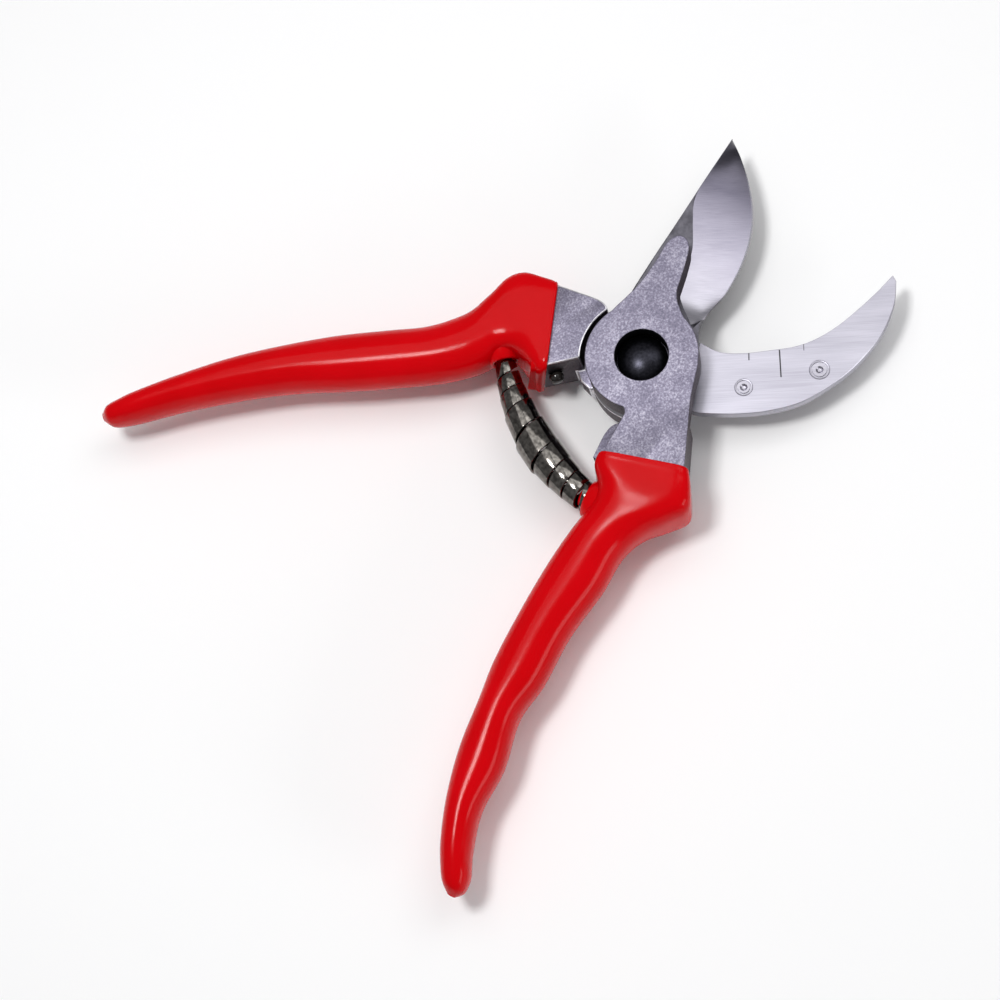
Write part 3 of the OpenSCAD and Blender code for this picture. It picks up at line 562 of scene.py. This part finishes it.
def rivet_profile(r):
    """Flush rivet: a centre dimple 0.5 mm deep, a worn land, a ring groove 0.4 mm deep just inside its
    rim, shank, and the head that was set on the underside."""
    top = 0.02
    return [(0.04, top - 0.55), (0.5, top - 0.5), (0.85, top - 0.12), (1.0, top), (r - 0.72, top),
            (r - 0.66, top - 0.4), (r - 0.34, top - 0.4), (r - 0.26, top - 0.03), (r - 0.04, top),
            (r, top - 0.05), (r, -6.8), (r + 1, -6.82), (r + 1, -7.0), (r + 0.6, -7.6), (0.04, -7.62)]


rivet_look = ground_steel("rivet_steel", "#8F8D97", "#C6C4CD", 0.32)
rivet_pair = [link("rivet_%d" % (k + 1), turned_piece("rivet", at, rivet_profile(r), -1), "hook_half",
                   "rivet_steel", rivet_look)
              for k, (at, r) in enumerate([((24.3, -11.2), 2.3), ((44.6, -11.0), 2.6)])]
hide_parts("counter_blade_rivets")

# ---------------------------------------------------------------------------------------------
# Pivot: a blackened bolt with a domed head in its counterbore, a toothed nut below, and a toothed
# segment with a slotted screw that keeps the nut from turning.
# ---------------------------------------------------------------------------------------------
black_look = blackened_steel("black_oxide", "#232329", "#34343B", 0.26)
dark_look = blackened_steel("oiled_steel", "#4B4B4F", "#6B6B70", 0.34)
softened("pivot_bolt", "hook_half", "black_bolt_steel", 0.3, [black_look], 3)
softened("pivot_nut", "hook_half", "dark_steel", 0.2, [dark_look])
softened("locking_segment", "hook_half", "dark_steel", 0.2, [dark_look])
softened("segment_screw", "hook_half", "bright_steel", 0.15, [zinc_look])

# ---------------------------------------------------------------------------------------------
# Bumper: a rubber button pressed into the wall of the hook half's neck, which stops the closing.
# ---------------------------------------------------------------------------------------------
rubber = new_material("bumper_rubber")
finish_with(rubber, Base_Color=linear("#262321"), Roughness=0.12, IOR=1.52,
            Normal=bumps(rubber, noise(rubber, in_mm(rubber), 0.3), 0.02, 0.4))
softened("bumper", "hook_half", "bumper_rubber", 0.7, [rubber], 5)

# ---------------------------------------------------------------------------------------------
# Thumb catch: a blackened steel lever under the neck, on a headed pin with a thin washer.
# ---------------------------------------------------------------------------------------------
softened("thumb_catch", "catch", "catch_steel", 0.25, [black_look])
softened("catch_pin", "hook_half", "bright_steel", 0.25, [zinc_look])
softened("catch_washer", "hook_half", "bright_steel", 0.05, [zinc_look], 1)

# ---------------------------------------------------------------------------------------------
# Volute spring: nickel-plated spring strip wound into two cones that meet in the middle. Each turn
# slides inside the next when the handles close. Its last turns are pushed over the coats' studs.
# ---------------------------------------------------------------------------------------------
hook_seat = opened([-36.4, 8.8, 1.5], -1) / MM
blade_seat = opened([-38.9, -2.1, 1.5], 1) / MM


def ribbon():
    """Strip along an arc between the seats, P(t) = P0 + chord t + 3.6 out 4 t (1 - t), wound at a
    radius that grows from 2.9 to 5.6 at t = 0.6 and falls to 4. Its turns, 8 (t + 0.35 sin(2 pi t) /
    2 pi), are far apart in the middle, and the strip is 0.93 of the local pitch wide. Its outer face
    leans, so that each turn's edge toward the wide middle stands 0.28 mm proud of the next."""
    chord = blade_seat - hook_seat
    out = np.array([chord[1], -chord[0], 0]) / np.linalg.norm(chord)
    t = np.linspace(-0.012, 1.045, 846)[:, None]
    centre = hook_seat + chord * t + out * 3.6 * 4 * t * (1 - t)
    way = chord + out * 3.6 * 4 * (1 - 2 * t)
    way = way / np.linalg.norm(way, axis=1, keepdims=True)
    side = np.stack([-way[:, 1], way[:, 0], 0 * way[:, 0]], 1)
    pitch = np.linalg.norm(chord) * 1.02 / (8 * (1 + 0.35 * np.cos(2 * math.pi * t)))
    a = 2 * math.pi * 8 * (t + 0.35 * np.sin(2 * math.pi * t) / (2 * math.pi))
    radius = np.where(t < 0.6, 2.9 + 2.7 * t / 0.6, 5.6 - 1.6 * (t - 0.6) / 0.4)
    outward = side * np.cos(a) + np.array([[0, 0, 1.0]]) * np.sin(a)
    width = 0.93 * pitch * np.clip(np.minimum(t + 0.012, 1.045 - t) / 0.03, 0.4, 1)
    corner = np.linspace(0, math.pi / 2, 4)
    box = np.array([(sx * (0.5 - 0.035 * (1 - math.cos(q))), sy * (0.19 + 0.16 * math.sin(q)))
                    for sx, sy, back in ((1, 1, 0), (-1, 1, 1), (-1, -1, 0), (1, -1, 1))
                    for q in (corner[::-1] if back else corner)])
    across, depth = box[:, 0][None, :, None], box[:, 1][None, :, None]
    lean = 0.28 * np.tanh((0.6 - t) * 40)[:, None] * across
    rings = (centre[:, None] + way[:, None] * across * width[:, None]
             + outward[:, None] * (radius[:, None] - 0.35 + depth + lean))
    return rings * MM


spring_steel = new_material("nickel_plate")
drawn = noise(spring_steel, in_mm(spring_steel), 0.5, 3.0)
finish_with(spring_steel, Base_Color=ramp(spring_steel, drawn, (0.3, "#4C4946"), (0.7, "#85817C")),
            Metallic=1.0, Roughness=span(spring_steel, drawn, 0.08, 0.16))
spring = link("volute_strip", skin("volute_strip", ribbon(), 40), None, "spring_steel", spring_steel)
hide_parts("volute_spring")
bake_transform(spring)

# ---------------------------------------------------------------------------------------------
# Studio: the shears lie on a pale sheet under soft boxes, seen from 19 degrees off the pivot's
# axis through a 75 mm lens, with the jaws to the upper right.
# ---------------------------------------------------------------------------------------------
bpy.context.scene.view_settings.view_transform = "Standard"
look = np.array([-0.0433, -0.3248, 0.9448])             # from the shears to the lens
jaws_up = np.array([0.5878, 0.8090, 0.0])               # what stands upright in the frame
frame_right = np.cross(jaws_up, look)
frame_right /= np.linalg.norm(frame_right)
frame_up = np.cross(look, frame_right)
pivot_face = np.array([0.0, 0.0, 22.76 * MM])           # middle of the pivot disc's upper face
lens_distance = 0.5453


def in_view(right, up, near):
    """Point that many metres right, up and towards the lens from the pivot's upper face."""
    return pivot_face + right * frame_right + up * frame_up + near * look


def aimed(obj, place, target):
    """Puts a lamp or camera at place and turns its -Z axis to the target."""
    back = np.array(place) - np.array(target)
    back = back / np.linalg.norm(back)
    side = np.cross(jaws_up, back)
    side = side / np.linalg.norm(side)
    turn = np.eye(4)
    turn[:3, 0], turn[:3, 1], turn[:3, 2], turn[:3, 3] = side, np.cross(back, side), back, place
    obj.matrix_world = Matrix(turn.tolist())


camera = bpy.data.objects.new("camera", bpy.data.cameras.new("camera"))
bpy.context.scene.collection.objects.link(camera)
camera.data.lens = 75
camera.data.sensor_width = 36
camera.data.clip_start = 0.01
frame_middle = in_view(-0.0370, -0.0381, 0)             # the pivot stands right of and above it
aimed(camera, frame_middle + lens_distance * look, frame_middle)
bpy.context.scene.camera = camera


def soft_box(name, place, target, width, height, power, tint=(1, 1, 1)):
    """Rectangular area lamp, aimed at the target."""
    lamp = bpy.data.objects.new(name, bpy.data.lights.new(name, "AREA"))
    bpy.context.scene.collection.objects.link(lamp)
    lamp.data.shape = "RECTANGLE"
    lamp.data.size, lamp.data.size_y = width, height
    lamp.data.energy, lamp.data.color = power, tint
    aimed(lamp, place, target)


soft_box("key_box", in_view(-0.29, 0.16, 0.64), in_view(-0.02, -0.03, 0), 0.14, 0.14, 2.6)
soft_box("window_box", in_view(0.62, -0.30, 0.40), in_view(0, -0.03, 0), 0.25, 0.35, 1.4)
soft_box("top_box", in_view(-0.30, 0.43, 0.63), in_view(0, 0, 0), 0.45, 0.45, 0.9)
soft_box("blade_box", in_view(0.20, 0.50, 0.66), in_view(0, 0, 0), 0.50, 0.42, 1.35)

world = bpy.data.worlds.new("studio")
bpy.context.scene.world = world
world.use_nodes = True
world.node_tree.nodes["Background"].inputs["Color"].default_value = linear("#F4F4F6")
world.node_tree.nodes["Background"].inputs["Strength"].default_value = 0.33

floor_mesh = bpy.data.meshes.new("floor")
reach = 3.0
floor_z = cad_box[0][2]
floor_mesh.from_pydata([(-reach, -reach, floor_z), (reach, -reach, floor_z), (reach, reach, floor_z),
                        (-reach, reach, floor_z)], [], [(0, 1, 2, 3)])
floor = bpy.data.objects.new("floor", floor_mesh)
bpy.context.scene.collection.objects.link(floor)
floor_mesh.materials.append(finish_with(new_material("matt_paper"), Base_Color=linear("#FAFAFA"),
                                        Roughness=0.9))
